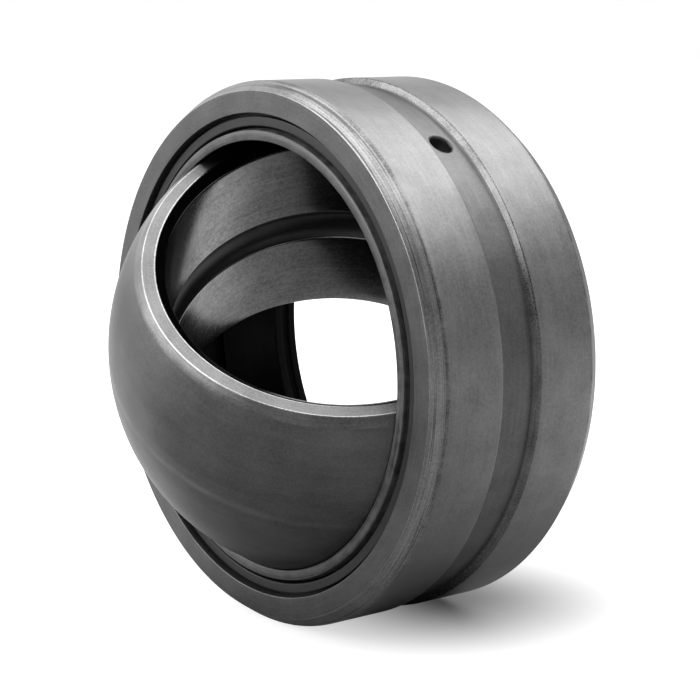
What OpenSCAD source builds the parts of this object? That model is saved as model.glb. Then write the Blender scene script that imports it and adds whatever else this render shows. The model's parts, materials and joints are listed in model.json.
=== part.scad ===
// Sealed radial spherical plain bearing, steel on steel, in millimetres.
// The origin is the centre of the ball. The outer ring's axis lies along Y, with its front face towards -Y.
// +Z is up.
// Every piece is turned about its own Z axis first and then laid along Y.

/* [Inner ring] */
// Diameter of the bore
bore_d = 30; // [22:0.5:45]
// Width over the two end faces
inner_w = 22; // [16:0.5:24]
// Wall from the bore to the ball surface, at the middle of the ring
inner_wall = 5.35; // [4.7:0.05:8]
// Chamfer at each mouth of the bore
bore_chamfer = 0.8; // [0.2:0.1:1.2]
// Chamfer between each end face and the ball surface
ball_chamfer = 0.5; // [0.1:0.1:0.8]
// Width of the rounded grease groove in the bore
bore_groove_w = 3.5; // [2.6:0.1:6]
// Depth of the rounded grease groove in the bore
bore_groove_depth = 0.8; // [0.3:0.1:1.2]
// Number of grease holes through the inner ring
inner_holes = 2; // [1:1:4]
// Diameter of each grease hole through the inner ring
inner_hole_d = 2.2; // [1:0.1:2.6]

/* [Outer ring] */
// Width over the two side faces
outer_w = 18; // [15:0.5:20]
// Wall from the ball surface to the outside, at the middle of the ring
outer_wall = 3.15; // [2.8:0.05:7]
// Radial clearance between the ball and its seat
running_gap = 0.05; // [0.02:0.01:0.1]
// Radial size of the chamfer at each rim
rim_chamfer_r = 0.8; // [0.2:0.1:1.2]
// Axial size of the chamfer at each rim
rim_chamfer_w = 1.2; // [0.2:0.1:2]
// Width of the grease groove round the outside
rim_groove_w = 4.1; // [2.6:0.1:7]
// Depth of the grease groove round the outside
rim_groove_depth = 0.6; // [0.3:0.1:1.2]
// Width of each sloping flank of that groove
rim_groove_flank_w = 0.3; // [0.1:0.05:0.6]
// Width of the grease groove in the seat
seat_groove_w = 3; // [2.4:0.1:6]
// Depth of the grease groove in the seat
seat_groove_depth = 0.5; // [0.2:0.1:0.8]
// Number of grease holes through the outer ring
outer_holes = 2; // [1:1:4]
// Diameter of each grease hole through the outer ring
outer_hole_d = 2; // [1:0.1:2.4]
// Angle of the first grease hole from the top, towards +X
outer_hole_angle = 36; // [0:1:359]

/* [Seals] */
// Depth of the recess in each side face that holds a seal
recess_depth = 2.1; // [1.9:0.1:2.8]
// Width of the recess floor, from the edge of the seat to the recess wall
recess_floor_w = 1.6; // [1.4:0.1:2]
// Depth of the undercut at the bottom of the recess
undercut_depth = 0.45; // [0.2:0.05:0.7]
// Width of the undercut at the bottom of the recess
undercut_w = 0.95; // [0.6:0.05:1.2]
// Clearance of the seal in the floor and undercut of its recess
seal_fit = 0.05; // [0.02:0.01:0.1]
// Open gap between the recess wall and the seal's front band
band_gap = 0.32; // [0.05:0.01:0.35]
// Width of the flat band on the seal's front
band_w = 0.78; // [0.4:0.02:0.9]
// How far the flat band stays below the side face
band_sink = 0.5; // [0.3:0.05:0.7]
// Width of the notch between the flat band and the lip
notch_w = 0.37; // [0.2:0.01:0.5]
// Depth of the notch between the flat band and the lip
notch_depth = 0.6; // [0.4:0.05:0.75]
// Width of the outer lip
lip_w = 0.84; // [0.6:0.02:1]
// Height of the outer lip's rounded crown
lip_crown = 0.1; // [0.05:0.01:0.2]
// How far the crown of the outer lip stays below the side face
lip_sink = 0.15; // [0.05:0.05:0.4]
// Clearance between the lips and the ball
lip_gap = 0.08; // [0.03:0.01:0.15]
// Radius of the grease pocket between the two lips
pocket_r = 0.35; // [0.2:0.05:0.45]

/* [Pose] */
// Angle that the inner ring is swung out of line with the outer ring
swing_angle = 68.2; // [0:0.1:90]
// Direction of the swing, from +X towards +Z
swing_direction = 56.2; // [0:0.1:359.9]
// Turn of the inner ring about its own axis
inner_spin = 28; // [0:1:179]

/* [Hidden] */
$fn = 96;

bore_r = bore_d / 2;
ball_r = bore_r + inner_wall;
seat_r = ball_r + running_gap;
outer_r = ball_r + outer_wall;
half_inner = inner_w / 2;
half_outer = outer_w / 2;

// Radius, across the axis, of a ball of radius r at the distance h from its middle.
function ball_slice(r, h) = sqrt(r * r - h * h);

// Inner ring: the end face stops where the chamfer starts, and the rounded groove is cut by a round tool.
face_r = ball_slice(ball_r, half_inner - ball_chamfer) - ball_chamfer;
groove_tool_r = (pow(bore_groove_w / 2, 2) + pow(bore_groove_depth, 2)) / (2 * bore_groove_depth);
groove_tool_at = bore_r + bore_groove_depth - groove_tool_r;

// Outer ring: levels of the seal recess, measured from the middle plane.
floor_level = half_outer - recess_depth;
recess_r = ball_slice(seat_r, floor_level) + recess_floor_w;
undercut_r = recess_r + undercut_depth;
rim_groove_r = outer_r - rim_groove_depth;

// Seal: levels from the middle plane and radii from the axis.
band_level = half_outer - band_sink;
lip_level = half_outer - lip_sink - lip_crown;
seal_back = floor_level + seal_fit;
rib_top = floor_level + undercut_w - seal_fit;
rib_r = undercut_r - seal_fit;
band_r = recess_r - band_gap;
notch_outer_r = band_r - band_w;
lip_outer_r = notch_outer_r - notch_w;
lip_core_r = ball_slice(ball_r, half_outer) - lip_w;
crown_r = (pow(lip_w / 2, 2) + pow(lip_crown, 2)) / (2 * lip_crown);
pocket_level = (seal_back + lip_level) / 2;

// Past the surface that a cut goes through.
overcut = 1;

// Lays a piece turned about Z along Y, with its front towards -Y.
module lay_forward() {
    rotate([90, 0, 0]) children();
}

// Lays a piece turned about Z along Y, with its front towards +Y.
module lay_backward() {
    rotate([-90, 0, 0]) children();
}

// Drills evenly spaced holes through a ring's wall, the first one along X.
module radial_holes(count, hole_d, from_r, to_r) {
    for (i = [0 : count - 1]) {
        rotate([0, 0, i * 360 / count])
            rotate([0, 90, 0])
                translate([0, 0, from_r])
                    cylinder(d = hole_d, h = to_r - from_r);
    }
}

// Half section of the outer ring before its seat and recesses are cut.
module outer_section() {
    inside_r = ball_slice(seat_r, half_outer) - overcut;
    land_end = half_outer - rim_chamfer_w;
    rim_r = outer_r - rim_chamfer_r;
    groove_edge = rim_groove_w / 2;
    groove_floor = groove_edge - rim_groove_flank_w;
    polygon([
        [inside_r, -half_outer],
        [rim_r, -half_outer],
        [outer_r, -land_end],
        [outer_r, -groove_edge],
        [rim_groove_r, -groove_floor],
        [rim_groove_r, groove_floor],
        [outer_r, groove_edge],
        [outer_r, land_end],
        [rim_r, half_outer],
        [inside_r, half_outer]
    ]);
}

// Space for one seal: a straight recess with an undercut at its floor.
module seal_recess() {
    translate([0, 0, floor_level]) {
        cylinder(r = recess_r, h = recess_depth + overcut);
        cylinder(r = undercut_r, h = undercut_w);
    }
}

module outer_ring() {
    color("#6e6e6e")
        lay_forward()
            difference() {
                rotate_extrude() outer_section();
                sphere(r = seat_r);
                seal_recess();
                mirror([0, 0, 1]) seal_recess();
                translate([0, 0, -seat_groove_w / 2])
                    cylinder(r = seat_r + seat_groove_depth, h = seat_groove_w);
                rotate([0, 0, 90 - outer_hole_angle])
                    radial_holes(outer_holes, outer_hole_d, bore_r, outer_r + overcut);
            }
}

// Half section of the inner ring before it is turned down to the ball.
module inner_section() {
    mouth_r = bore_r + bore_chamfer;
    mouth_level = half_inner - bore_chamfer;
    cone_r = face_r + 2 * ball_chamfer;
    cone_level = half_inner - 2 * ball_chamfer;
    blank_r = ball_r + overcut;
    polygon([
        [bore_r, -mouth_level],
        [mouth_r, -half_inner],
        [face_r, -half_inner],
        [cone_r, -cone_level],
        [blank_r, -cone_level],
        [blank_r, cone_level],
        [cone_r, cone_level],
        [face_r, half_inner],
        [mouth_r, half_inner],
        [bore_r, mouth_level]
    ]);
}

module inner_ring() {
    swing_axis = [sin(swing_direction), 0, -cos(swing_direction)];
    color("#858585")
        rotate(a = -swing_angle, v = swing_axis)
            lay_forward()
                rotate([0, 0, inner_spin])
                    difference() {
                        intersection() {
                            sphere(r = ball_r);
                            rotate_extrude() inner_section();
                        }
                        rotate_extrude()
                            translate([groove_tool_at, 0])
                                circle(r = groove_tool_r);
                        radial_holes(inner_holes, inner_hole_d, bore_r - overcut, ball_r + overcut);
                    }
}

// Half section of a seal: a rib for the undercut, a flat front band, a notch and an outer lip with a crown.
module seal_section() {
    polygon([
        [lip_core_r, seal_back],
        [rib_r, seal_back],
        [rib_r, rib_top],
        [band_r, rib_top],
        [band_r, band_level],
        [notch_outer_r, band_level],
        [notch_outer_r - notch_w / 2, band_level - notch_depth],
        [lip_outer_r, lip_level],
        [lip_core_r, lip_level]
    ]);
    intersection() {
        translate([lip_outer_r - lip_w / 2, lip_level + lip_crown - crown_r]) circle(r = crown_r);
        translate([lip_outer_r - lip_w, lip_level - lip_crown]) square([lip_w, 3 * lip_crown]);
    }
}

// A seal trimmed to the ball, with a pocket that parts its two lips.
module seal() {
    color("#3c3c3c")
        difference() {
            rotate_extrude() seal_section();
            sphere(r = ball_r + lip_gap);
            rotate_extrude()
                translate([ball_slice(ball_r, pocket_level), pocket_level])
                    circle(r = pocket_r);
        }
}

module front_seal() {
    lay_forward() seal();
}

module rear_seal() {
    lay_backward() seal();
}

outer_ring();
inner_ring();
front_seal();
rear_seal();
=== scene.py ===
"""Looks of a sealed spherical plain bearing that stands on its rim with its inner ring swung out of line.

Every ring and seal is a turned section carried round its axis. Sizes are in millimetres, in the same frame
as the solids, and become metres when a mesh is made.
"""

import json
import logging
import math
from dataclasses import dataclass, field
from enum import Enum, auto
from typing import Any

import bmesh
import bpy
import numpy as np
from mathutils import Matrix, Vector


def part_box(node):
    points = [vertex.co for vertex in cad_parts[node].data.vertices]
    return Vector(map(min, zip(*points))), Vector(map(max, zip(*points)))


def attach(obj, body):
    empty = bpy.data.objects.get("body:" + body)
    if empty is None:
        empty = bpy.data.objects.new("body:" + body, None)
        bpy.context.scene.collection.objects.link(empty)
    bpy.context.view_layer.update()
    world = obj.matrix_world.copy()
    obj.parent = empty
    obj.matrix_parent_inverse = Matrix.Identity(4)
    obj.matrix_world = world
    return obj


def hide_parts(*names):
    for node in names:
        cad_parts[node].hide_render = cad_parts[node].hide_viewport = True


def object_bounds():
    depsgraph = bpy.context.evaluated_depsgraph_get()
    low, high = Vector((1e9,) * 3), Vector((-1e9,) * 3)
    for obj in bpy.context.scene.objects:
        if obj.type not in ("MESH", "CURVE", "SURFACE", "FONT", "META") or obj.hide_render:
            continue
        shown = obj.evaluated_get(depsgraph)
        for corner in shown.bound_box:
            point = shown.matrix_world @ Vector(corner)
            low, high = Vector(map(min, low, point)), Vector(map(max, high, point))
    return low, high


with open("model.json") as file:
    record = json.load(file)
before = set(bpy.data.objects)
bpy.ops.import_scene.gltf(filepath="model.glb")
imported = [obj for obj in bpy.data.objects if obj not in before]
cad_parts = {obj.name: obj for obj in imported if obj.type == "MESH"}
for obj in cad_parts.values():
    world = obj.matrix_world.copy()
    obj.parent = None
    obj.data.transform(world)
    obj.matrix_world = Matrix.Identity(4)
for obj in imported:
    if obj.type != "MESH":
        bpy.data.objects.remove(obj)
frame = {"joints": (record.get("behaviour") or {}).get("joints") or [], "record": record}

CAD_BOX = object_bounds()
MM = 0.001
PHOTO_PX = 700
log = logging.getLogger("bearing")

# The ball, the clearance between it and its seat, and the rounding of an edge that has none of its own.
BALL_R = 20.35
RUNNING_GAP = 0.05
EDGE_ROUNDING = 0.1

# Points on a turned piece: columns round it, rows in a hole's lining, steps that measure a wall, and the
# shares of the way from a hole's rim to the border of its patch at which rings of points lie.
COLUMNS = 360
LINING_ROWS = 9
MEASURE_STEPS = 65
RING_SHARES = (0.0, 0.2, 0.45, 0.72)

# Attribute with the distance along the section and the sine and cosine of the angle round the axis, and the
# radius at which the length of a tool mark is measured.
TURNED = "turned"
MARKED_RADIUS = 20.0

# Noise values taken as the ends of a pattern's swing, and those between which scores, patches of the lighter
# line round the ball, a film on rubber and its dust come in.
SWING = {"From_Min": 0.25, "From_Max": 0.75}
SCORE_RANGE = {"From_Min": 0.58, "From_Max": 0.66}
LINE_RANGE = {"From_Min": 0.4, "From_Max": 0.55}
FILM_RANGE = {"From_Min": 0.12, "From_Max": 0.4}
DUST_RANGE = {"From_Min": 0.3, "From_Max": 0.7}

# Tone halfway from a finish's low colour to its high one, and how strongly rubber bends light.
MID_TONE = 0.5
RUBBER_IOR = 1.5

# Settings that several nodes share.
SMOOTH = {"interpolation_type": "SMOOTHSTEP"}
PLUS = {"operation": "ADD"}
TIMES = {"operation": "MULTIPLY"}
LARGER = {"operation": "MAXIMUM"}
DISTANCE = {"operation": "DISTANCE"}
ALONG = {"operation": "DOT_PRODUCT"}


class Zone(Enum):
    """A stretch of surface that has a finish of its own."""

    SIDE_FACE = auto()
    RIM_CHAMFER = auto()
    LAND = auto()
    RIM_GROOVE = auto()
    GROOVE_FLANK = auto()
    SEAT = auto()
    RECESS = auto()
    BALL = auto()
    BALL_CHAMFER = auto()
    END_FACE = auto()
    BORE = auto()
    BORE_GROOVE = auto()
    EDGE = auto()
    SHADE_LINE = auto()
    RUBBER = auto()
    NOTCH = auto()
    LIP = auto()


def linear(hex_colour: str) -> tuple[float, float, float, float]:
    """Turns an sRGB hex colour into linear light.

    Args:
        hex_colour: Colour such as "#808080".

    Returns:
        Red, green, blue and alpha, each from 0 to 1.
    """
    srgb = np.array([int(hex_colour[i:i + 2], 16) for i in (1, 3, 5)]) / 255
    light = np.where(srgb <= 0.04045, srgb / 12.92, ((srgb + 0.055) / 1.055) ** 2.4)
    return (*(float(c) for c in light), 1.0)


def add_node(tree: bpy.types.NodeTree, kind: str, settings: dict[str, Any] | None = None,
             **inputs: Any) -> bpy.types.Node:
    """Adds one node, sets it up and links it.

    Args:
        tree: Node tree that gets the node.
        kind: Blender's name of the node type, after ShaderNode.
        settings: Properties of the node itself.
        inputs: Values or output sockets by input name, with _ for a space, or _0, _1 for an input's number.

    Returns:
        The new node.
    """
    node = tree.nodes.new("ShaderNode" + kind)
    for name, value in (settings or {}).items():
        setattr(node, name, value)
    for name, value in inputs.items():
        socket = node.inputs[int(name[1:])] if name[0] == "_" else node.inputs[name.replace("_", " ")]
        if isinstance(value, bpy.types.NodeSocket):
            tree.links.new(value, socket)
        else:
            socket.default_value = value
    return node


def bare_material(name: str) -> bpy.types.Material:
    """Makes a material with an empty node tree.

    Args:
        name: Name of the material.

    Returns:
        The new material.
    """
    material = bpy.data.materials.new(name)
    material.use_nodes = True
    material.node_tree.nodes.clear()
    return material


def round_marks(tree: bpy.types.NodeTree, width_mm: float, length_mm: float) -> bpy.types.NodeSocket:
    """Adds a pattern of marks that run round a turned piece.

    Args:
        tree: Node tree that gets the pattern.
        width_mm: Width of a mark along the section.
        length_mm: Length of a mark round the axis, at the marked radius.

    Returns:
        A socket with values about 0.5.
    """
    turned = add_node(tree, "Attribute", {"attribute_name": TURNED})
    around = MARKED_RADIUS / length_mm
    across = add_node(tree, "Mapping", Vector=turned.outputs["Vector"], Scale=(1 / width_mm, around, around))
    noise = add_node(tree, "TexNoise", Vector=across.outputs["Vector"], Scale=1.0, Detail=3.0,
                     Roughness=0.65)
    return noise.outputs["Fac"]


@dataclass(frozen=True)
class SteelFinish:
    """Phosphated bearing steel: a dark metal whose tool marks run round the ring.

    The colour goes from low to high. Tool marks, a slow mottle, fine grit and sparse dark scores each have a
    share in that, and marks and grit also stand a little out of the surface. Real tool marks and phosphate
    grains are 0.01 to 0.05 mm wide, too fine to show, so they are drawn several times as coarse. An edge tint
    under 1 mutes the gloss at a low angle, as a phosphate skin does. A lighter line can be added round the
    ring, in patches.
    """

    name: str
    low: str
    high: str
    roughness: float
    marks: float = 0.2
    mark_mm: float = 0.22
    mark_length_mm: float = 6.0
    mark_height_mm: float = 0.002
    mottle: float = 0.35
    mottle_mm: float = 3.0
    grit: float = 0.35
    grit_mm: float = 0.22
    grit_height_mm: float = 0.003
    scores: float = 0.0
    score_mm: float = 0.4
    score_length_mm: float = 25.0
    spread: float = 0.06
    edge_tint: float = 1.0
    line_share: float = 0.0
    line_mm: float = 0.6
    line_level_mm: float = 0.0

    def light_line(self, tree: bpy.types.NodeTree, place: bpy.types.NodeSocket) -> bpy.types.NodeSocket:
        """Adds a lighter line round the inner ring, strong here and gone there.

        Its strength falls smoothly from the line's middle, at a level along the ring's axis, to its edges.

        Args:
            tree: Node tree that gets the line.
            place: Object coordinates.

        Returns:
            A socket with the line's share in the tone.
        """
        axis = tuple(mount("shaft_bore")["axis"])
        level = add_node(tree, "VectorMath", ALONG, _0=place, _1=axis)
        beside = add_node(tree, "Math", {"operation": "SUBTRACT"}, _0=level.outputs["Value"],
                          _1=self.line_level_mm * MM)
        away = add_node(tree, "Math", {"operation": "ABSOLUTE"}, _0=beside.outputs["Value"])
        line = add_node(tree, "MapRange", SMOOTH, Value=away.outputs["Value"],
                        From_Max=self.line_mm * MM, To_Min=self.line_share, To_Max=0.0)
        uneven = round_marks(tree, self.mottle_mm, self.mark_length_mm)
        patches = add_node(tree, "MapRange", Value=uneven, **LINE_RANGE)
        both = add_node(tree, "Math", TIMES, _0=line.outputs["Result"], _1=patches.outputs["Result"])
        return both.outputs["Value"]

    def build(self) -> bpy.types.Material:
        """Makes the material.

        Returns:
            A node material that reads the turned attribute for tool marks and Object coordinates for grit.
        """
        material = bare_material(self.name)
        tree = material.node_tree
        marks = round_marks(tree, self.mark_mm, self.mark_length_mm)
        scores = round_marks(tree, self.score_mm, self.score_length_mm)
        place = add_node(tree, "TexCoord").outputs["Object"]
        mottle = add_node(tree, "TexNoise", Vector=place,
                          Scale=1 / (self.mottle_mm * MM), Detail=4.0, Roughness=0.6)
        grit = add_node(tree, "TexNoise", Vector=place,
                        Scale=1 / (self.grit_mm * MM), Detail=2.0, Roughness=0.7)
        dark = add_node(tree, "MapRange", Value=scores, **SCORE_RANGE, To_Min=MID_TONE,
                        To_Max=MID_TONE - self.scores)
        tone = dark.outputs["Result"]
        for share, pattern in ((self.marks, marks), (self.mottle, mottle.outputs["Fac"]),
                               (self.grit, grit.outputs["Fac"])):
            swing = add_node(tree, "MapRange", Value=pattern, **SWING, To_Min=-share, To_Max=share)
            total = add_node(tree, "Math", PLUS, _0=tone, _1=swing.outputs["Result"])
            tone = total.outputs["Value"]
        if self.line_share:
            total = add_node(tree, "Math", PLUS, _0=tone, _1=self.light_line(tree, place))
            tone = total.outputs["Value"]
        level = add_node(tree, "Clamp", Value=tone)
        colour = add_node(tree, "Mix", {"data_type": "RGBA"}, _0=level.outputs["Result"],
                          _6=linear(self.low), _7=linear(self.high))
        gloss = add_node(tree, "MapRange", Value=grit.outputs["Fac"], **SWING,
                         To_Min=self.roughness - self.spread, To_Max=self.roughness + self.spread)
        ridges = add_node(tree, "Bump", Height=marks, Distance=self.mark_height_mm * MM, Strength=1.0)
        pits = add_node(tree, "Bump", Height=grit.outputs["Fac"], Normal=ridges.outputs["Normal"],
                        Distance=self.grit_height_mm * MM, Strength=1.0)
        shader = add_node(tree, "BsdfPrincipled", Base_Color=colour.outputs[2], Metallic=1.0,
                          Roughness=gloss.outputs["Result"], Normal=pits.outputs["Normal"],
                          Specular_Tint=(self.edge_tint, self.edge_tint, self.edge_tint, 1.0))
        add_node(tree, "OutputMaterial", Surface=shader.outputs["BSDF"])
        return material


@dataclass(frozen=True)
class RubberFinish:
    """Moulded black elastomer: a dark, slightly greasy skin with a satin sheen and faint mould marks.

    Real mould marks are about 0.02 mm wide, too fine to show, so they are drawn several times as coarse.
    """

    name: str
    low: str
    high: str
    roughness: float
    sheen: float = 0.5
    mould_mm: float = 0.2
    mould_length_mm: float = 4.0
    mould_height_mm: float = 0.006
    dust_mm: float = 1.2
    spread: float = 0.08

    def build(self) -> bpy.types.Material:
        """Makes the material.

        Returns:
            A node material with mould marks round the seal and a thin uneven film of dust.
        """
        material = bare_material(self.name)
        tree = material.node_tree
        marks = round_marks(tree, self.mould_mm, self.mould_length_mm)
        place = add_node(tree, "TexCoord").outputs["Object"]
        dust = add_node(tree, "TexNoise", Vector=place,
                        Scale=1 / (self.dust_mm * MM), Detail=5.0, Roughness=0.7)
        both = add_node(tree, "Math", TIMES, _0=marks, _1=dust.outputs["Fac"])
        level = add_node(tree, "MapRange", Value=both.outputs["Value"], **FILM_RANGE)
        colour = add_node(tree, "Mix", {"data_type": "RGBA"}, _0=level.outputs["Result"],
                          _6=linear(self.low), _7=linear(self.high))
        gloss = add_node(tree, "MapRange", Value=dust.outputs["Fac"], **DUST_RANGE,
                         To_Min=self.roughness - self.spread, To_Max=self.roughness + self.spread)
        ridges = add_node(tree, "Bump", Height=marks, Distance=self.mould_height_mm * MM, Strength=1.0)
        shader = add_node(tree, "BsdfPrincipled", Base_Color=colour.outputs[2], IOR=RUBBER_IOR,
                          Specular_IOR_Level=self.sheen, Roughness=gloss.outputs["Result"],
                          Normal=ridges.outputs["Normal"])
        add_node(tree, "OutputMaterial", Surface=shader.outputs["BSDF"])
        return material


FINISHES: dict[Zone, SteelFinish | RubberFinish] = {
    # Ground flat and phosphated: an even mid grey.
    Zone.SIDE_FACE: SteelFinish("phosphated_steel_side_face", "#444444", "#5a5a5a", 0.4),
    # Turned with a coarser tool and rubbed bare: light, grainy, with long dark scores.
    Zone.RIM_CHAMFER: SteelFinish("turned_steel_rim_chamfer", "#4a4a4a", "#949494", 0.36, marks=0.45,
                                  mark_mm=0.16, mark_length_mm=14.0, mark_height_mm=0.004, mottle=0.15,
                                  grit=0.25, grit_mm=0.16, grit_height_mm=0.004, scores=0.5, edge_tint=0.6),
    # Corner where chamfer and land meet: a soft, uneven darker line of painted shade.
    Zone.SHADE_LINE: SteelFinish("turned_steel_score", "#3e3e3e", "#787878", 0.4, marks=0.4, mark_length_mm=14.0,
                            mottle=0.5),
    # Ground outside: smooth with a soft broad gloss.
    Zone.LAND: SteelFinish("ground_steel_land", "#5c5c5c", "#747474", 0.36, grit=0.4),
    # Turned groove floor, a little darker than the lands.
    Zone.RIM_GROOVE: SteelFinish("turned_steel_groove", "#484848", "#606060", 0.38),
    # Groove flank left rough and bright by the side of the tool.
    Zone.GROOVE_FLANK: SteelFinish("turned_steel_flank", "#404040", "#747474", 0.28, grit=0.35, grit_mm=0.16,
                                   grit_height_mm=0.004, edge_tint=0.6),
    # Phosphated and greased seat: dark and smooth, darkened further to nearly black as painted shade inside
    # the ring.
    Zone.SEAT: SteelFinish("phosphated_steel_seat", "#141414", "#1e1e1e", 0.35, edge_tint=0.5),
    # Turned recess wall and drilled holes: a matt grey, with no gloss of its own.
    Zone.RECESS: SteelFinish("turned_steel_recess", "#4c4c4c", "#626262", 0.5),
    # Ground and phosphated ball: a smooth dark gloss with a lighter line round it, in patches.
    Zone.BALL: SteelFinish("phosphated_steel_ball", "#363636", "#6a6a6a", 0.4, marks=0.1, mark_mm=1.2,
                           mark_length_mm=12.0, mottle=0.16, mottle_mm=5.0, grit=0.16, grit_height_mm=0.001,
                           edge_tint=0.8, line_share=0.5, line_level_mm=1.0),
    # Turned edge between end face and ball: a narrow matt band with a fine grain.
    Zone.BALL_CHAMFER: SteelFinish("turned_steel_ball_chamfer", "#444444", "#686868", 0.43, grit=0.35,
                                   grit_mm=0.16, grit_height_mm=0.002),
    # Ground end face: lighter, with a fine speckle.
    Zone.END_FACE: SteelFinish("ground_steel_end_face", "#505050", "#686868", 0.42, grit=0.5, grit_mm=0.16),
    # Honed bore: an even gloss, soft enough to blur what it mirrors.
    Zone.BORE: SteelFinish("honed_steel_bore", "#606060", "#929292", 0.17, mottle=0.25, grit=0.35,
                           grit_mm=0.3, grit_height_mm=0.002, spread=0.03, edge_tint=0.36),
    # Bore groove that the hone doesn't reach: smooth dark phosphate, darkened further as painted shade in the
    # groove.
    Zone.BORE_GROOVE: SteelFinish("phosphated_steel_bore_groove", "#3a3a3a", "#4a4a4a", 0.4, grit=0.2,
                                  grit_height_mm=0.001, edge_tint=0.5),
    # Edges rubbed to bare steel: thin bright lines.
    Zone.EDGE: SteelFinish("bare_steel_edge", "#707070", "#a8a8a8", 0.3),
    # Moulded rubber of the seal's body and flat band: a black satin skin.
    Zone.RUBBER: RubberFinish("moulded_rubber_seal", "#0e0e0e", "#1c1c1c", 0.54, sheen=0.3),
    # Notch in the seal: nearly black, painted shade in the crease.
    Zone.NOTCH: RubberFinish("greased_rubber_notch", "#050505", "#0a0a0a", 0.5, sheen=0.15),
    # Moulded lip that the ball wipes: greyer, with fine lines round it.
    Zone.LIP: RubberFinish("moulded_rubber_lip", "#161616", "#505050", 0.45, sheen=0.36, mould_mm=0.14,
                           mould_length_mm=9.0),
}


@dataclass(frozen=True)
class Wall:
    """One wall of a turned section: a straight line, or an arc about a centre, from one corner to the next.

    A corner is a pair of distances: from the axis, and along it.
    """

    start: tuple[float, float]
    end: tuple[float, float]
    zone: Zone
    rows: int = 3
    rounding: float = EDGE_ROUNDING
    corner: Zone | None = None
    centre: tuple[float, float] | None = None

    def at(self, t: np.ndarray) -> np.ndarray:
        """Gives points along the wall: start + t (end - start), or the same in angle about the centre.

        Args:
            t: Shares of the way from start to end.

        Returns:
            One row of two distances for each share.
        """
        first, last = np.array(self.start), np.array(self.end)
        if self.centre is None:
            return first + t[:, None] * (last - first)
        middle = np.array(self.centre)
        radius = np.linalg.norm(first - middle)
        angles = [math.atan2(p[1] - middle[1], p[0] - middle[0]) for p in (first, last)]
        sweep = (angles[1] - angles[0] + math.pi) % (2 * math.pi) - math.pi
        angle = angles[0] + t * sweep
        return middle + radius * np.stack([np.cos(angle), np.sin(angle)], axis=1)

    def length(self) -> float:
        """Gives the wall's length, from a fine polyline."""
        points = self.at(np.linspace(0, 1, MEASURE_STEPS))
        return float(np.linalg.norm(np.diff(points, axis=0), axis=1).sum())


@dataclass
class Section:
    """Closed half section of a turned piece, sampled to rows of points."""

    walls: list[Wall]
    corner_rows: int = 5
    points: np.ndarray = field(init=False)
    along: np.ndarray = field(init=False)
    zones: list[Zone] = field(init=False)
    first_row: dict[int, int] = field(init=False)

    def __post_init__(self) -> None:
        """Samples the walls and blends each corner.

        A corner P between walls is the parabola (1-u)^2 A + 2u(1-u) P + u^2 B, where A and B are the points
        on the two walls at the rounding's distance from P.
        """
        points, zones, self.first_row = [], [], {}
        count = 0
        for k, wall in enumerate(self.walls):
            before, after = self.walls[k - 1], self.walls[(k + 1) % len(self.walls)]
            t_first = before.rounding / wall.length()
            t_last = 1 - wall.rounding / wall.length()
            run = wall.at(np.linspace(t_first, t_last, wall.rows))
            leave = after.at(np.array([wall.rounding / after.length()]))
            u = np.linspace(0, 1, self.corner_rows + 2)[1:-1, None]
            corner = (1 - u) ** 2 * run[-1] + 2 * u * (1 - u) * np.array(wall.end) + u ** 2 * leave
            self.first_row[k] = count
            count += wall.rows + self.corner_rows
            points += [run, corner]
            zones += [wall.zone] * (wall.rows - 1)
            zones += [wall.corner or wall.zone] * (self.corner_rows + 1)
        self.points = np.concatenate(points)
        self.zones = zones
        steps = np.linalg.norm(np.diff(self.points, axis=0, append=self.points[:1]), axis=1)
        self.along = np.concatenate([[0.0], np.cumsum(steps)])

    def rows_of(self, wall: int, half: int) -> np.ndarray:
        """Gives the numbers of the rows nearest a wall's middle.

        Args:
            wall: Number of the wall.
            half: How many rows to each side of the middle one.

        Returns:
            Row numbers in order.
        """
        middle = self.first_row[wall] + self.walls[wall].rows // 2
        return np.arange(middle - half, middle + half + 1)


@dataclass(frozen=True)
class DrilledHole:
    """A round hole drilled through a turned piece, straight towards its axis."""

    angle_deg: float
    radius: float
    outside_wall: int
    inside_wall: int
    rim: float = 0.12
    half_columns: int = 5
    half_rows: int = 5


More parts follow.
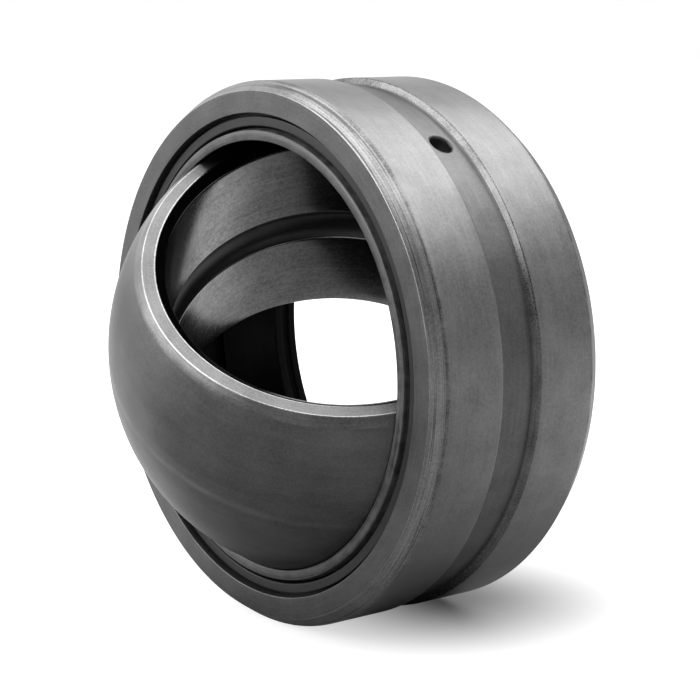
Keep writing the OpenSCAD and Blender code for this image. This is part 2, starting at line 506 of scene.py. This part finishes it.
@dataclass
class Turned:
    """A turned section carried round its axis, with holes drilled through its wall."""

    section: Section
    holes: list[DrilledHole] = field(default_factory=list)
    places: list[np.ndarray] = field(init=False, default_factory=list)
    marks: list[np.ndarray] = field(init=False, default_factory=list)
    quads: list[np.ndarray] = field(init=False, default_factory=list)
    zones: list[np.ndarray] = field(init=False, default_factory=list)
    count: int = field(init=False, default=0)

    def __post_init__(self) -> None:
        """Makes the grid and lets the holes into it."""
        kinds = list(Zone)
        points, rows = self.section.points, len(self.section.points)
        theta = np.radians(np.arange(COLUMNS) * 360 / COLUMNS)
        column, row = np.meshgrid(np.arange(COLUMNS), np.arange(rows), indexing="ij")
        r, s = points[row, 0], points[row, 1]
        marks = np.stack([self.section.along[row], theta[column]], axis=-1)
        self._grow(self._around(r, s, theta[column]), marks)
        next_column, next_row = (column + 1) % COLUMNS, (row + 1) % rows
        quads = np.stack([column * rows + row, column * rows + next_row, next_column * rows + next_row,
                          next_column * rows + row], axis=-1)
        zone = np.array([kinds.index(z) for z in self.section.zones])[row]
        keep = np.ones((COLUMNS, rows), bool)
        for hole in self.holes:
            self._drill(hole, keep)
        self.quads.insert(0, quads[keep])
        self.zones.insert(0, zone[keep])

    @staticmethod
    def _around(r: np.ndarray, s: np.ndarray, theta: np.ndarray) -> np.ndarray:
        """Gives points r from the axis, s along it, theta round it: (r sin, r cos, s)."""
        return np.stack([r * np.sin(theta), r * np.cos(theta), s], axis=-1)

    def _grow(self, places: np.ndarray, marks: np.ndarray) -> int:
        """Adds points.

        Args:
            places: Three distances for each point.
            marks: Distance along the section and angle round the axis for each point.

        Returns:
            The number of the first new point.
        """
        first = self.count
        self.places.append(places.reshape(-1, 3))
        self.marks.append(marks.reshape(-1, 2))
        self.count += len(self.places[-1])
        return first

    def _join(self, rings: np.ndarray, zone: Zone) -> None:
        """Joins rings of points by quads.

        Args:
            rings: One row of point numbers for each ring.
            zone: Finish of the quads.
        """
        turned = np.roll(rings, -1, axis=1)
        quads = np.stack([rings[:-1], rings[1:], turned[1:], turned[:-1]], axis=-1).reshape(-1, 4)
        self.quads.append(quads)
        self.zones.append(np.full(len(quads), list(Zone).index(zone)))

    def _drill(self, hole: DrilledHole, keep: np.ndarray) -> None:
        """Opens a patch of the grid on each side of the wall, fills it round the hole and joins the circles.

        Rows run down the outside and up the inside, so the inside ones are taken in reverse. On a patch, a
        point lies a = r sin(theta - hole's angle) beside the drill and b = s along the axis from it. A ring
        between the circle and the patch's border is (1-t) circle + t border in a and b.

        Args:
            hole: The hole.
            keep: Grid of quads that stay, changed here.
        """
        rows = len(self.section.points)
        turn = np.radians(hole.angle_deg)
        middle = round(hole.angle_deg * COLUMNS / 360)
        columns = np.arange(middle - hole.half_columns, middle + hole.half_columns + 1)
        ends = []
        phi = None
        for wall, order in ((hole.outside_wall, 1), (hole.inside_wall, -1)):
            lines = self.section.rows_of(wall, hole.half_rows)
            keep[np.ix_(columns[:-1] % COLUMNS, lines[:-1])] = False
            lines = lines[::order]
            steps_down, steps_round = len(lines) - 1, len(columns) - 1
            border_column = np.concatenate([columns[:-1], np.full(steps_down, columns[-1]), columns[:0:-1],
                                            np.full(steps_down, columns[0])])
            border_row = np.concatenate([np.full(steps_round, lines[0]), lines[:-1],
                                         np.full(steps_round, lines[-1]), lines[:0:-1]])
            r, s = self.section.points[border_row].T
            a = r * np.sin(np.radians((border_column - middle) * 360 / COLUMNS))
            phi = np.arctan2(s, a) if phi is None else phi
            t = np.array(RING_SHARES)[:, None]
            wide = hole.radius + hole.rim
            beside = (1 - t) * wide * np.cos(phi) + t * a
            level = (1 - t) * wide * np.sin(phi) + t * s
            ring_r, ring_along = self._across(lines, level)
            ring_theta = turn + np.arcsin(beside / ring_r)
            marks = np.stack([ring_along, ring_theta], axis=-1)
            first = self._grow(self._around(ring_r, level, ring_theta), marks)
            rings = first + np.arange(beside.size).reshape(beside.shape)
            border = border_column % COLUMNS * rows + border_row
            self._join(np.concatenate([rings, border[None]]), self.section.walls[wall].zone)
            ends.append((rings[0], ring_r[0] * np.cos(ring_theta[0] - turn), ring_along[0]))
        self._bore_hole(hole, phi, ends)

    def _across(self, lines: np.ndarray, level: np.ndarray) -> tuple[np.ndarray, np.ndarray]:
        """Finds places on a stretch of rows, straight from each point to the next.

        Args:
            lines: Numbers of the rows.
            level: Levels of the places along the axis.

        Returns:
            The radius and the distance along the section at each level.
        """
        order = lines[np.argsort(self.section.points[lines, 1])]
        levels = self.section.points[order, 1]
        return (np.interp(level, levels, self.section.points[order, 0]),
                np.interp(level, levels, self.section.along[order]))

    def _bore_hole(self, hole: DrilledHole, phi: np.ndarray, ends: list[tuple[np.ndarray, ...]]) -> None:
        """Lines the hole between its two circles: heights go evenly from one rim to the other.

        Args:
            hole: The hole.
            phi: Angles of the points of a circle about the drill.
            ends: Point numbers, heights and distances along the section of the outside and the inside circle.
        """
        (outer_ring, outer_h, outer_v), (inner_ring, inner_h, inner_v) = ends
        drop = np.sign(outer_h - inner_h) * hole.rim
        u = np.linspace(0, 1, LINING_ROWS)[:, None]
        height = (1 - u) * (outer_h - drop) + u * (inner_h + drop)
        beside = np.broadcast_to(hole.radius * np.cos(phi), height.shape)
        level = np.broadcast_to(hole.radius * np.sin(phi), height.shape)
        theta = np.radians(hole.angle_deg) + np.arctan2(beside, height)
        along = (1 - u) * outer_v + u * inner_v
        marks = np.stack([along, theta], axis=-1)
        first = self._grow(self._around(np.hypot(beside, height), level, theta), marks)
        rings = first + np.arange(height.size).reshape(height.shape)
        self._join(np.concatenate([outer_ring[None], rings, inner_ring[None]]), Zone.RECESS)

    def mesh(self, name: str, triad: np.ndarray) -> bpy.types.Mesh:
        """Makes the mesh, with one material for each zone and the turned attribute on its corners.

        Args:
            name: Name of the mesh.
            triad: Rows are the directions of the section's x, y and axis in the frame.

        Returns:
            A closed mesh in metres.
        """
        quads, zones = np.concatenate(self.quads), np.concatenate(self.zones)
        places = np.concatenate(self.places) @ triad * MM
        along, theta = np.concatenate(self.marks).T
        mesh = bpy.data.meshes.new(name)
        mesh.from_pydata(places, [], quads)
        used, index = np.unique(zones, return_inverse=True)
        for number in used:
            mesh.materials.append(bpy.data.materials[FINISHES[list(Zone)[number]].name])
        mesh.polygons.foreach_set("material_index", index.astype(np.int32))
        mesh.polygons.foreach_set("use_smooth", np.ones(len(quads), bool))
        corner_along, corner_theta = along[quads], theta[quads]
        wraps = np.ptp(corner_along, axis=1, keepdims=True) > self.section.along[-1] / 2
        corner_along = corner_along + np.where(wraps & (corner_along < self.section.along[-1] / 2),
                                               self.section.along[-1], 0)
        turned = np.stack([corner_along, np.sin(corner_theta), np.cos(corner_theta)], axis=-1)
        attribute = mesh.attributes.new(TURNED, "FLOAT_VECTOR", "CORNER")
        attribute.data.foreach_set("vector", turned.astype(np.float32).ravel())
        turn_faces_out(mesh)
        return mesh


def turn_faces_out(mesh: bpy.types.Mesh) -> None:
    """Makes all faces of a closed mesh point outwards.

    Args:
        mesh: The mesh, changed here.
    """
    work = bmesh.new()
    work.from_mesh(mesh)
    bmesh.ops.recalc_face_normals(work, faces=work.faces)
    work.to_mesh(mesh)
    work.free()


def slice_of_ball(radius: float, level: float) -> float:
    """Gives the radius, across the axis, of a ball cut at a level from its middle."""
    return math.sqrt(radius ** 2 - level ** 2)


def meeting(ball: float, centre: tuple[float, float], radius: float) -> list[tuple[float, float]]:
    """Finds where a circle crosses a ball's outline about the origin.

    With d from the origin to the centre, the crossings lie (ball^2 - radius^2 + d^2) / 2d along that line and
    the rest of the ball's radius to either side.

    Args:
        ball: Radius of the ball.
        centre: Centre of the circle.
        radius: Radius of the circle.

    Returns:
        The crossing with the lower level and the one with the higher level.
    """
    middle = np.array(centre)
    distance = np.linalg.norm(middle)
    ahead = middle / distance
    reach = (ball ** 2 - radius ** 2 + distance ** 2) / (2 * distance)
    side = math.sqrt(ball ** 2 - reach ** 2) * np.array([-ahead[1], ahead[0]])
    both = [tuple(float(v) for v in ahead * reach + k * side) for k in (-1, 1)]
    return sorted(both, key=lambda p: p[1])


def mount(name: str) -> dict[str, Any]:
    """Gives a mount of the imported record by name."""
    return next(m for m in frame["record"]["mounts"] if m["name"] == name)


def show(mesh: bpy.types.Mesh, node: str, body: str) -> None:
    """Puts a mesh into the scene in place of a solid.

    Args:
        mesh: The piece's mesh, in the frame.
        node: Name of the solid that it stands for.
        body: Body that it moves with.
    """
    piece = bpy.data.objects.new(mesh.name, mesh)
    bpy.context.scene.collection.objects.link(piece)
    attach(piece, body)
    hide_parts(node)
    log.info("%s: %d triangles on %s", mesh.name, 2 * len(mesh.polygons), body)


# Directions of a section's x, y and axis in the frame, for a piece that faces the front or the rear.
FORWARD = np.array([[1, 0, 0], [0, 0, 1], [0, -1, 0]], float)
BACKWARD = np.array([[-1, 0, 0], [0, 0, 1], [0, 1, 0]], float)


@dataclass
class OuterRing:
    """Outer ring with its seat, grease grooves and holes, and a recess for a seal at each face."""

    radius: float = mount("housing_seat")["dims"]["r_mm"]
    width: float = (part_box("outer_ring")[1].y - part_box("outer_ring")[0].y) / MM
    rim_chamfer_r: float = 0.8
    rim_chamfer_w: float = 1.2
    rim_groove_w: float = 4.1
    rim_groove_depth: float = 0.6
    rim_groove_flank_w: float = 0.3
    seat_radius: float = BALL_R + RUNNING_GAP
    seat_groove_w: float = 3.0
    seat_groove_depth: float = 0.5
    recess_depth: float = 2.1
    recess_floor_w: float = 1.6
    undercut_depth: float = 0.45
    undercut_w: float = 0.95
    hole_angle: float = 36.0
    hole_d: float = 2.0
    recess_rounding: float = 0.08
    face_rounding: float = 0.07
    land_rounding: float = 0.18
    groove_rounding: float = 0.08

    @property
    def floor_level(self) -> float:
        """Level of the recess floor from the middle plane."""
        return self.width / 2 - self.recess_depth

    @property
    def recess_r(self) -> float:
        """Radius of the recess wall."""
        return slice_of_ball(self.seat_radius, self.floor_level) + self.recess_floor_w

    def half_walls(self) -> list[Wall]:
        """Lays out the front half of the section.

        Returns:
            Its walls, from the groove in the seat round the face to the floor of the rim groove.
        """
        face, seat_groove = self.width / 2, self.seat_groove_w / 2
        seat_groove_r = self.seat_radius + self.seat_groove_depth
        groove = (self.radius, self.rim_groove_w / 2)
        groove_floor = (self.radius - self.rim_groove_depth, groove[1] - self.rim_groove_flank_w)
        undercut_r, undercut_top = self.recess_r + self.undercut_depth, self.floor_level + self.undercut_w
        rim = (self.radius - self.rim_chamfer_r, face)
        land = (self.radius, face - self.rim_chamfer_w)
        seat_edge = (slice_of_ball(self.seat_radius, self.floor_level), self.floor_level)
        groove_mouth = (slice_of_ball(self.seat_radius, seat_groove), seat_groove)
        return [
            Wall((seat_groove_r, seat_groove), groove_mouth, Zone.SEAT),
            Wall(groove_mouth, seat_edge, Zone.SEAT, 18, centre=(0.0, 0.0)),
            Wall(seat_edge, (undercut_r, self.floor_level), Zone.SEAT),
            Wall((undercut_r, self.floor_level), (undercut_r, undercut_top), Zone.SEAT),
            Wall((undercut_r, undercut_top), (self.recess_r, undercut_top), Zone.SEAT),
            Wall((self.recess_r, undercut_top), (self.recess_r, face), Zone.RECESS,
                 rounding=self.recess_rounding),
            Wall((self.recess_r, face), rim, Zone.SIDE_FACE, 5, rounding=self.face_rounding,
                 corner=Zone.RIM_CHAMFER),
            Wall(rim, land, Zone.RIM_CHAMFER, 5, rounding=self.land_rounding, corner=Zone.SHADE_LINE),
            Wall(land, groove, Zone.LAND, 9, rounding=self.groove_rounding),
            Wall(groove, groove_floor, Zone.GROOVE_FLANK),
        ]

    def build(self) -> None:
        """Builds the ring and puts it in place of its solid."""
        front = self.half_walls()
        (seat_r, seat), (groove_r, groove) = front[0].start, front[-1].end
        floor = Wall((groove_r, groove), (groove_r, -groove), Zone.RIM_GROOVE, 13)
        seat_floor = Wall((seat_r, -seat), (seat_r, seat), Zone.SEAT, 11)
        walls = [*front, floor, *mirrored(front), seat_floor]
        holes = [DrilledHole(self.hole_angle + turn, self.hole_d / 2, len(front), len(walls) - 1)
                 for turn in (0, 180)]
        mesh = Turned(Section(walls), holes).mesh("turned_outer_ring", FORWARD)
        show(mesh, "outer_ring", "outer")


def mirrored(walls: list[Wall], last_rounding: float = EDGE_ROUNDING) -> list[Wall]:
    """Gives the walls of the other half of a section, in the order that goes on round it.

    Args:
        walls: Walls of the front half.
        last_rounding: Rounding of the corner where the first of them starts.

    Returns:
        The walls at the opposite levels, each with the rounding of the corner where it now ends.
    """
    flipped = []
    for k in range(len(walls) - 1, -1, -1):
        wall = walls[k]
        rounding, corner = (walls[k - 1].rounding, walls[k - 1].corner) if k else (last_rounding, None)
        centre = None if wall.centre is None else (wall.centre[0], -wall.centre[1])
        flipped.append(Wall((wall.end[0], -wall.end[1]), (wall.start[0], -wall.start[1]), wall.zone,
                            wall.rows, rounding, corner, centre))
    return flipped


@dataclass
class InnerRing:
    """Inner ring with its ball, end faces and grooved bore, swung out of line with the outer ring."""

    bore_r: float = mount("shaft_bore")["dims"]["r_mm"]
    width: float = 22.0
    ball_r: float = BALL_R
    bore_chamfer: float = 0.8
    ball_chamfer: float = 0.5
    groove_w: float = 3.5
    groove_depth: float = 0.8
    hole_d: float = 2.2
    hole_angle: float = 62.0
    groove_rounding: float = 0.12
    bore_rounding: float = 0.15
    mouth_rounding: float = 0.12
    face_rounding: float = 0.06
    ball_rounding: float = 0.3

    def half_walls(self) -> list[Wall]:
        """Lays out the front half of the section.

        Returns:
            Its walls, from the bore groove round the end face to the ball.
        """
        face, groove = self.width / 2, self.groove_w / 2
        ball_edge = (slice_of_ball(self.ball_r, face - self.ball_chamfer), face - self.ball_chamfer)
        face_edge = (ball_edge[0] - self.ball_chamfer, face)
        mouth = (self.bore_r + self.bore_chamfer, face)
        return [
            Wall((self.bore_r, groove), (self.bore_r, face - self.bore_chamfer), Zone.BORE, 9,
                 rounding=self.bore_rounding),
            Wall((self.bore_r, face - self.bore_chamfer), mouth, Zone.BORE, rounding=self.mouth_rounding),
            Wall(mouth, face_edge, Zone.END_FACE, 5, rounding=self.face_rounding, corner=Zone.EDGE),
            Wall(face_edge, ball_edge, Zone.BALL_CHAMFER, 4, rounding=self.ball_rounding),
        ]

    def triad(self) -> np.ndarray:
        """Finds the swung ring's directions: the outer ring's, turned back from the aligned pose.

        Returns:
            Rows are the directions of the section's x, y and axis in the frame.
        """
        joint = frame["joints"][0]
        swing = math.radians(mount("shaft_bore")["fit_pose"][joint["name"]])
        turn = Matrix.Rotation(-swing, 3, Vector(joint["axis"]))
        return FORWARD @ np.array(turn).T

    def build(self) -> None:
        """Builds the ring and puts it in place of its solid."""
        front = self.half_walls()
        start, groove = front[-1].end, self.groove_w / 2
        tool_r = (groove ** 2 + self.groove_depth ** 2) / (2 * self.groove_depth)
        centre = (self.bore_r + self.groove_depth - tool_r, 0.0)
        ball = Wall(start, (start[0], -start[1]), Zone.BALL, 71, rounding=self.ball_rounding,
                    centre=(0.0, 0.0))
        bottom = Wall((self.bore_r, -groove), (self.bore_r, groove), Zone.BORE_GROOVE, 15,
                      rounding=self.groove_rounding, centre=centre)
        walls = [*front, ball, *mirrored(front, self.groove_rounding), bottom]
        holes = [DrilledHole(self.hole_angle + turn, self.hole_d / 2, len(front), len(walls) - 1, half_rows=6)
                 for turn in (0, 180)]
        mesh = Turned(Section(walls), holes).mesh("ground_inner_ring", self.triad())
        show(mesh, "inner_ring", "inner")


@dataclass
class LipSeal:
    """Double-lip seal in the recess of a side face: rib, flat band, notch and two lips on the ball."""

    ring: OuterRing
    ball_r: float = BALL_R
    fit: float = 0.05
    band_gap: float = 0.32
    band_w: float = 0.78
    band_sink: float = 0.5
    notch_w: float = 0.37
    notch_depth: float = 0.6
    lip_crown: float = 0.1
    lip_sink: float = 0.15
    lip_gap: float = 0.08
    pocket_r: float = 0.35
    rib_rounding: float = 0.06
    band_rounding: float = 0.08
    lip_rounding: float = 0.05
    pocket_rounding: float = 0.03
    heel_rounding: float = 0.04

    def walls(self) -> list[Wall]:
        """Lays out the section.

        Returns:
            Its walls, from the back of the seal round its front to the ball.
        """
        ring = self.ring
        back, front = ring.floor_level + self.fit, ring.width / 2 - self.band_sink
        rib_r = ring.recess_r + ring.undercut_depth - self.fit
        rib_top = ring.floor_level + ring.undercut_w - self.fit
        band_r = ring.recess_r - self.band_gap
        notch_r = band_r - self.band_w
        trim = self.ball_r + self.lip_gap
        lip_level = ring.width / 2 - self.lip_sink - self.lip_crown
        edge, tip = (notch_r - self.notch_w, lip_level), (slice_of_ball(trim, lip_level), lip_level)
        half_lip = (edge[0] - tip[0]) / 2
        crown_r = (half_lip ** 2 + self.lip_crown ** 2) / (2 * self.lip_crown)
        crown = (tip[0] + half_lip, lip_level + self.lip_crown - crown_r)
        pocket_level = (back + lip_level) / 2
        pocket = (slice_of_ball(self.ball_r, pocket_level), pocket_level)
        pocket_low, pocket_high = meeting(trim, pocket, self.pocket_r)
        notch = (notch_r - self.notch_w / 2, front - self.notch_depth)
        deep = (pocket[0] + self.pocket_r, pocket_level)
        heel = (slice_of_ball(trim, back), back)
        return [
            Wall(heel, (rib_r, back), Zone.RUBBER, 4, rounding=self.rib_rounding),
            Wall((rib_r, back), (rib_r, rib_top), Zone.RUBBER, rounding=self.rib_rounding),
            Wall((rib_r, rib_top), (band_r, rib_top), Zone.RUBBER, rounding=self.rib_rounding),
            Wall((band_r, rib_top), (band_r, front), Zone.RUBBER, 4, rounding=self.band_rounding),
            Wall((band_r, front), (notch_r, front), Zone.RUBBER, 5, rounding=self.band_rounding),
            Wall((notch_r, front), notch, Zone.NOTCH, 4, rounding=self.lip_rounding),
            Wall(notch, edge, Zone.LIP, 5, rounding=self.lip_rounding),
            Wall(edge, tip, Zone.LIP, 13, rounding=self.lip_rounding, centre=crown),
            Wall(tip, pocket_high, Zone.RUBBER, 4, rounding=self.pocket_rounding, centre=(0.0, 0.0)),
            Wall(pocket_high, deep, Zone.RUBBER, 5, rounding=self.pocket_rounding, centre=pocket),
            Wall(deep, pocket_low, Zone.RUBBER, 5, rounding=self.pocket_rounding, centre=pocket),
            Wall(pocket_low, heel, Zone.RUBBER, rounding=self.heel_rounding, centre=(0.0, 0.0)),
        ]

    def build(self) -> None:
        """Builds the front and the rear seal in place of their solids."""
        for node, triad in (("front_seal", FORWARD), ("rear_seal", BACKWARD)):
            mesh = Turned(Section(self.walls(), corner_rows=3)).mesh(f"moulded_{node}", triad)
            show(mesh, node, "outer")


@dataclass(frozen=True)
class Softbox:
    """A soft lamp that hangs at a place and faces the bearing."""

    name: str
    place_mm: tuple[float, float, float]
    width_mm: float
    height_mm: float
    level: float

    def hang(self) -> None:
        """Adds the lamp: its power is level times pi times its area, so level is its face's brightness."""
        data = bpy.data.lights.new(self.name, "AREA")
        data.shape = "RECTANGLE"
        data.size, data.size_y = self.width_mm * MM, self.height_mm * MM
        data.energy = self.level * math.pi * data.size * data.size_y
        lamp = bpy.data.objects.new(self.name, data)
        lamp.location = Vector(self.place_mm) * MM
        lamp.rotation_euler = lamp.location.to_track_quat("Z", "Y").to_euler()
        lamp.visible_camera = False
        bpy.context.scene.collection.objects.link(lamp)


SOFTBOXES = [
    Softbox("overhead_softbox", (30.0, 70.0, 350.0), 500.0, 540.0, 3.8),
    Softbox("left_softbox", (-400.0, -60.0, 200.0), 520.0, 340.0, 1.5),
    Softbox("front_left_softbox", (-160.0, -400.0, 200.0), 450.0, 300.0, 6.6),
]


@dataclass
class Studio:
    """Camera at the photograph's viewing angle, pale floor, softboxes and a white surround."""

    azimuth: float = 51.97
    elevation: float = 9.51
    distance_mm: float = 177.9
    focal_px: float = 2012.8
    aim_right_mm: float = 0.88
    aim_up_mm: float = -0.33
    clip_mm: tuple[float, float] = (10.0, 20000.0)
    floor_mm: float = 1500.0
    floor_colour: str = "#989898"
    # The shadow: its middle on the floor, how far it reaches, and the painted glow outside it, which draws
    # the shadow's edge.
    shadow_middle_mm: tuple[float, float] = (5.5, 10.0)
    shadow_mm: float = 20.5
    painted_glow: float = 0.78
    # Floor that is white to camera and reflections: a painted pool of light clear of the contact on the left
    # and rear side, or else far away.
    painted_pool_middle_mm: tuple[float, float] = (1.0, 10.0)
    painted_pool_from_mm: float = 12.0
    painted_pool_to_mm: float = 45.0
    painted_pool_side: tuple[float, float, float] = (-0.66, 0.75, 0.0)
    painted_pool_side_from_mm: float = -22.0
    painted_pool_side_to_mm: float = 8.0
    far_from_mm: float = 90.0
    far_to_mm: float = 450.0
    # The world: its level on the object, and the cosines from straight behind between which it whitens.
    room_level: float = 0.35
    backdrop_from: float = -0.6
    backdrop_full: float = 0.15

    def camera(self) -> None:
        """Puts the camera on its direction from the ball's centre and aims it a little beside the centre."""
        a, e = math.radians(self.azimuth), math.radians(self.elevation)
        back = Vector((math.sin(a) * math.cos(e), -math.cos(a) * math.cos(e), math.sin(e)))
        right = Vector((math.cos(a), math.sin(a), 0))
        aim = (right * self.aim_right_mm + back.cross(right) * self.aim_up_mm) * MM
        data = bpy.data.cameras.new("camera")
        data.lens = self.focal_px * data.sensor_width / PHOTO_PX
        data.clip_start, data.clip_end = (v * MM for v in self.clip_mm)
        camera = bpy.data.objects.new("camera", data)
        camera.location = back * self.distance_mm * MM
        camera.rotation_euler = (camera.location - aim).to_track_quat("Z", "Y").to_euler()
        bpy.context.scene.collection.objects.link(camera)
        bpy.context.scene.camera = camera

    def floor_finish(self, level: float) -> bpy.types.Material:
        """Makes the floor's finish: a pale matt ground that keeps the shadow near the bearing.

        Outside the shadow the camera sees a painted glow, which draws the shadow's edge. Camera and
        reflections see it white far away, and in a painted pool of light to the left of the bearing and
        behind it, clear of the contact.

        Args:
            level: Height of the floor in metres.

        Returns:
            A node material on Object coordinates.
        """
        material = bare_material("pale_floor")
        tree = material.node_tree
        middle = (*(v * MM for v in self.shadow_middle_mm), level)
        place = add_node(tree, "TexCoord").outputs["Object"]
        away = add_node(tree, "VectorMath", DISTANCE, _0=place, _1=middle)
        # Painted glow for the camera: none at the shadow's middle, full outside it, so it draws the shadow's
        # edge.
        near = add_node(tree, "MapRange", SMOOTH, Value=away.outputs["Value"],
                        From_Max=self.shadow_mm * MM, To_Max=self.painted_glow)
        far = add_node(tree, "MapRange", SMOOTH, Value=away.outputs["Value"],
                       From_Min=self.far_from_mm * MM, From_Max=self.far_to_mm * MM)
        # Painted pool of light on the floor, left of the bearing and behind it, clear of the contact, which
        # the metal mirrors.
        side = add_node(tree, "VectorMath", ALONG, _0=place, _1=self.painted_pool_side)
        bright = add_node(tree, "MapRange", SMOOTH, Value=side.outputs["Value"],
                          From_Min=self.painted_pool_side_from_mm * MM, From_Max=self.painted_pool_side_to_mm * MM)
        reach = add_node(tree, "VectorMath", DISTANCE, _0=place,
                         _1=(*(v * MM for v in self.painted_pool_middle_mm), level))
        clear = add_node(tree, "MapRange", SMOOTH, Value=reach.outputs["Value"],
                         From_Min=self.painted_pool_from_mm * MM, From_Max=self.painted_pool_to_mm * MM)
        painted_pool = add_node(tree, "Math", TIMES, _0=bright.outputs["Result"], _1=clear.outputs["Result"])
        white = add_node(tree, "Math", LARGER, _0=painted_pool.outputs["Value"], _1=far.outputs["Result"])
        path = add_node(tree, "LightPath")
        close = add_node(tree, "Math", TIMES, _0=path.outputs["Is Camera Ray"], _1=near.outputs["Result"])
        wide = add_node(tree, "Math", TIMES, _0=self.seen(tree), _1=white.outputs["Value"])
        glow = add_node(tree, "Math", LARGER, _0=close.outputs["Value"], _1=wide.outputs["Value"])
        light = add_node(tree, "Emission", Strength=glow.outputs["Value"])
        matt = add_node(tree, "BsdfDiffuse", Color=linear(self.floor_colour))
        both = add_node(tree, "AddShader", _0=matt.outputs["BSDF"], _1=light.outputs["Emission"])
        add_node(tree, "OutputMaterial", Surface=both.outputs["Shader"])
        return material

    def floor(self) -> None:
        """Lays the floor under the rim: one square face."""
        level, half = CAD_BOX[0].z, self.floor_mm * MM
        corners = [(-half, -half, level), (half, -half, level), (half, half, level), (-half, half, level)]
        mesh = bpy.data.meshes.new("floor")
        mesh.from_pydata(corners, [], [(0, 1, 2, 3)])
        mesh.materials.append(self.floor_finish(level))
        floor = bpy.data.objects.new("floor", mesh)
        bpy.context.scene.collection.objects.link(floor)

    @staticmethod
    def seen(tree: bpy.types.NodeTree) -> bpy.types.NodeSocket:
        """Tells what is seen or mirrored from what only lights the bearing.

        Args:
            tree: Node tree that gets the test.

        Returns:
            A socket that is 1 for camera, glossy and transmission rays, and 0 for others.
        """
        path = add_node(tree, "LightPath")
        bright = add_node(tree, "Math", LARGER, _0=path.outputs["Is Camera Ray"],
                          _1=path.outputs["Is Glossy Ray"])
        every = add_node(tree, "Math", LARGER, _0=bright.outputs["Value"],
                         _1=path.outputs["Is Transmission Ray"])
        return every.outputs["Value"]

    def surround(self) -> None:
        """Sets the world: white to the camera, a white backdrop behind in reflections, dim elsewhere."""
        world = bpy.data.worlds.new("surround")
        world.use_nodes = True
        tree = world.node_tree
        tree.nodes.clear()
        a = math.radians(self.azimuth)
        way = add_node(tree, "TexCoord")
        behind = add_node(tree, "VectorMath", ALONG, _0=way.outputs["Generated"],
                          _1=(-math.sin(a), math.cos(a), 0.0))
        backdrop = add_node(tree, "MapRange", SMOOTH, Value=behind.outputs["Value"],
                            From_Min=self.backdrop_from, From_Max=self.backdrop_full)
        path = add_node(tree, "LightPath")
        white = add_node(tree, "Math", LARGER, _0=path.outputs["Is Camera Ray"],
                         _1=backdrop.outputs["Result"])
        bright = add_node(tree, "Math", TIMES, _0=self.seen(tree), _1=white.outputs["Value"])
        level = add_node(tree, "MapRange", Value=bright.outputs["Value"], To_Min=self.room_level, To_Max=1.0)
        sky = add_node(tree, "Background", Strength=level.outputs["Result"], Color=(1, 1, 1, 1))
        add_node(tree, "OutputWorld", Surface=sky.outputs["Background"])
        bpy.context.scene.world = world

    def build(self) -> None:
        """Sets up the whole studio."""
        bpy.context.scene.view_settings.view_transform = "Standard"
        self.camera()
        self.floor()
        self.surround()
        for softbox in SOFTBOXES:
            softbox.hang()


def main() -> None:
    """Makes the finishes, the pieces and the studio."""
    logging.basicConfig(level=logging.INFO, format="%(name)s: %(message)s")
    for finish in FINISHES.values():
        finish.build()
    ring = OuterRing()
    ring.build()
    InnerRing().build()
    LipSeal(ring).build()
    Studio().build()


if __name__ == "__main__":
    main()
